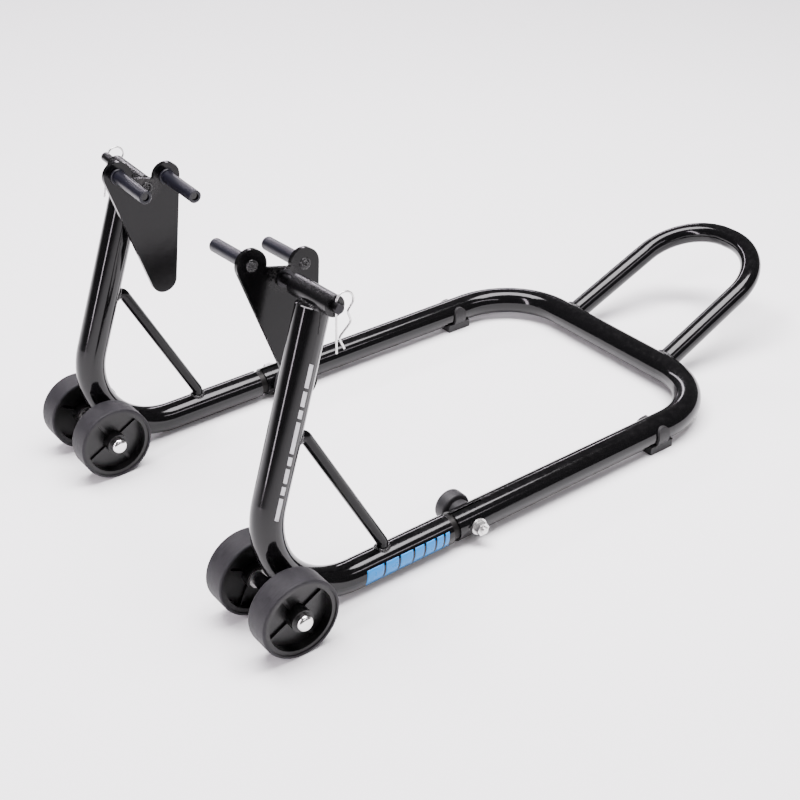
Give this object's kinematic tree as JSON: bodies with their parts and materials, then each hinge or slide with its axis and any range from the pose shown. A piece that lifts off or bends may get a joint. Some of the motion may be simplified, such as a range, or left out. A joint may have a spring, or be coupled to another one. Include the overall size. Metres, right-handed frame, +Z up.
{
  "type": "motorcycle rear paddock stand",
  "caption": "Wheeled rear stand for a motorcycle: tubular frame with a push handle, two braced uprights and swivelling brackets with lift pins held by spring clips.",
  "frame": {"origin": "middle of the bounding box in X and Y, on the floor", "axes": "+X from the wheels to the push handle, +Y to the stand's right side, +Z up"},
  "size_m": [0.8535, 0.4968, 0.3544],
  "materials": {
    "frame_paint": "gloss",
    "spigot_steel": "satin",
    "zinc_steel": "satin",
    "wheel_plastic": "satin",
    "wheel_rubber": "matte",
    "foot_rubber": "matte",
    "knob_plastic": "matte",
    "pin_plastic": "satin"
  },
  "bodies": {
    "frame": {"left_side_arm": "frame_paint", "left_arm_cap": "frame_paint", "left_pivot_sleeve": "frame_paint", "left_brace_rod": "frame_paint", "left_joint_spigot": "spigot_steel", "left_rear_foot": "foot_rubber", "left_axle_bush": "frame_paint", "left_axle": "zinc_steel", "left_axle_washers": "zinc_steel", "left_axle_caps": "zinc_steel", "left_clamp_nut": "zinc_steel", "left_clamp_saddle": "knob_plastic", "right_side_arm": "frame_paint", "right_arm_cap": "frame_paint", "right_pivot_sleeve": "frame_paint", "right_brace_rod": "frame_paint", "right_joint_spigot": "spigot_steel", "right_rear_foot": "foot_rubber", "right_axle_bush": "frame_paint", "right_axle": "zinc_steel", "right_axle_washers": "zinc_steel", "right_axle_caps": "zinc_steel", "right_clamp_nut": "zinc_steel", "right_clamp_saddle": "knob_plastic", "rear_u_frame": "frame_paint", "handle_loop": "frame_paint"},
    "left_outer_wheel": {"left_outer_wheel_hub": "wheel_plastic", "left_outer_wheel_tyre": "wheel_rubber"},
    "left_inner_wheel": {"left_inner_wheel_hub": "wheel_plastic", "left_inner_wheel_tyre": "wheel_rubber"},
    "left_bracket_washer": {"left_swivel_washer": "zinc_steel"},
    "left_lift_bracket": {"left_lift_plate": "frame_paint", "left_spindle": "zinc_steel", "left_lift_pins": "zinc_steel", "left_pin_sleeves": "pin_plastic"},
    "left_clip": {"left_r_clip": "zinc_steel"},
    "left_knob_washer": {"left_clamp_washer": "zinc_steel"},
    "left_knob": {"left_clamp_knob": "knob_plastic", "left_clamp_bolt": "zinc_steel"},
    "right_outer_wheel": {"right_outer_wheel_hub": "wheel_plastic", "right_outer_wheel_tyre": "wheel_rubber"},
    "right_inner_wheel": {"right_inner_wheel_hub": "wheel_plastic", "right_inner_wheel_tyre": "wheel_rubber"},
    "right_bracket_washer": {"right_swivel_washer": "zinc_steel"},
    "right_lift_bracket": {"right_lift_plate": "frame_paint", "right_spindle": "zinc_steel", "right_lift_pins": "zinc_steel", "right_pin_sleeves": "pin_plastic"},
    "right_clip": {"right_r_clip": "zinc_steel"},
    "right_knob_washer": {"right_clamp_washer": "zinc_steel"},
    "right_knob": {"right_clamp_knob": "knob_plastic", "right_clamp_bolt": "zinc_steel"}
  },
  "joints": [
    {"name": "left_outer_wheel_spin", "type": "hinge", "parent": "frame", "child": "left_outer_wheel", "pos_m": [-0.3857, -0.22585, 0.041], "axis": [0, 1, 0], "continuous": true},
    {"name": "left_inner_wheel_spin", "type": "hinge", "parent": "frame", "child": "left_inner_wheel", "pos_m": [-0.3857, -0.14815, 0.041], "axis": [0, 1, 0], "continuous": true},
    {"name": "left_bracket_slide", "type": "slide", "parent": "frame", "child": "left_bracket_washer", "axis": [0, -0.9986, 0.0523], "range_m": [0, 0.017]},
    {"name": "left_bracket_swivel", "type": "hinge", "parent": "left_bracket_washer", "child": "left_lift_bracket", "pos_m": [-0.31029, -0.17692, 0.32097], "axis": [0, 0.9986, -0.0523], "continuous": true},
    {"name": "left_clip_pull", "type": "slide", "parent": "left_lift_bracket", "child": "left_clip", "axis": [0.0872, 0.0521, 0.9948], "range_m": [0, 0.02]},
    {"name": "left_clamp_travel", "type": "slide", "parent": "frame", "child": "left_knob_washer", "axis": [-0.011, 0.9999, 0], "range_m": [0, 0.005]},
    {"name": "left_clamp_turn", "type": "hinge", "parent": "left_knob_washer", "child": "left_knob", "pos_m": [-0.15222, -0.18504, 0.01858], "axis": [-0.011, 0.9999, 0], "range_deg": [0, 1440]},
    {"name": "right_outer_wheel_spin", "type": "hinge", "parent": "frame", "child": "right_outer_wheel", "pos_m": [-0.3857, 0.22585, 0.041], "axis": [0, 1, 0], "continuous": true},
    {"name": "right_inner_wheel_spin", "type": "hinge", "parent": "frame", "child": "right_inner_wheel", "pos_m": [-0.3857, 0.14815, 0.041], "axis": [0, 1, 0], "continuous": true},
    {"name": "right_bracket_slide", "type": "slide", "parent": "frame", "child": "right_bracket_washer", "axis": [0, -0.9986, -0.0523], "range_m": [0, 0.017]},
    {"name": "right_bracket_swivel", "type": "hinge", "parent": "right_bracket_washer", "child": "right_lift_bracket", "pos_m": [-0.31029, 0.17692, 0.32097], "axis": [0, 0.9986, 0.0523], "continuous": true},
    {"name": "right_clip_pull", "type": "slide", "parent": "right_lift_bracket", "child": "right_clip", "axis": [0.2079, -0.0512, 0.9768], "range_m": [0, 0.02]},
    {"name": "right_clamp_travel", "type": "slide", "parent": "frame", "child": "right_knob_washer", "axis": [-0.011, -0.9999, 0], "range_m": [0, 0.005]},
    {"name": "right_clamp_turn", "type": "hinge", "parent": "right_knob_washer", "child": "right_knob", "pos_m": [-0.15222, 0.18504, 0.01858], "axis": [-0.011, -0.9999, 0], "range_deg": [0, 1440]}
  ],
  "couplings": [
    {"joint": "left_clamp_turn", "follows": "left_clamp_travel", "rad_per_m": 5026.5},
    {"joint": "right_clamp_turn", "follows": "right_clamp_travel", "rad_per_m": 5026.5}
  ]
}
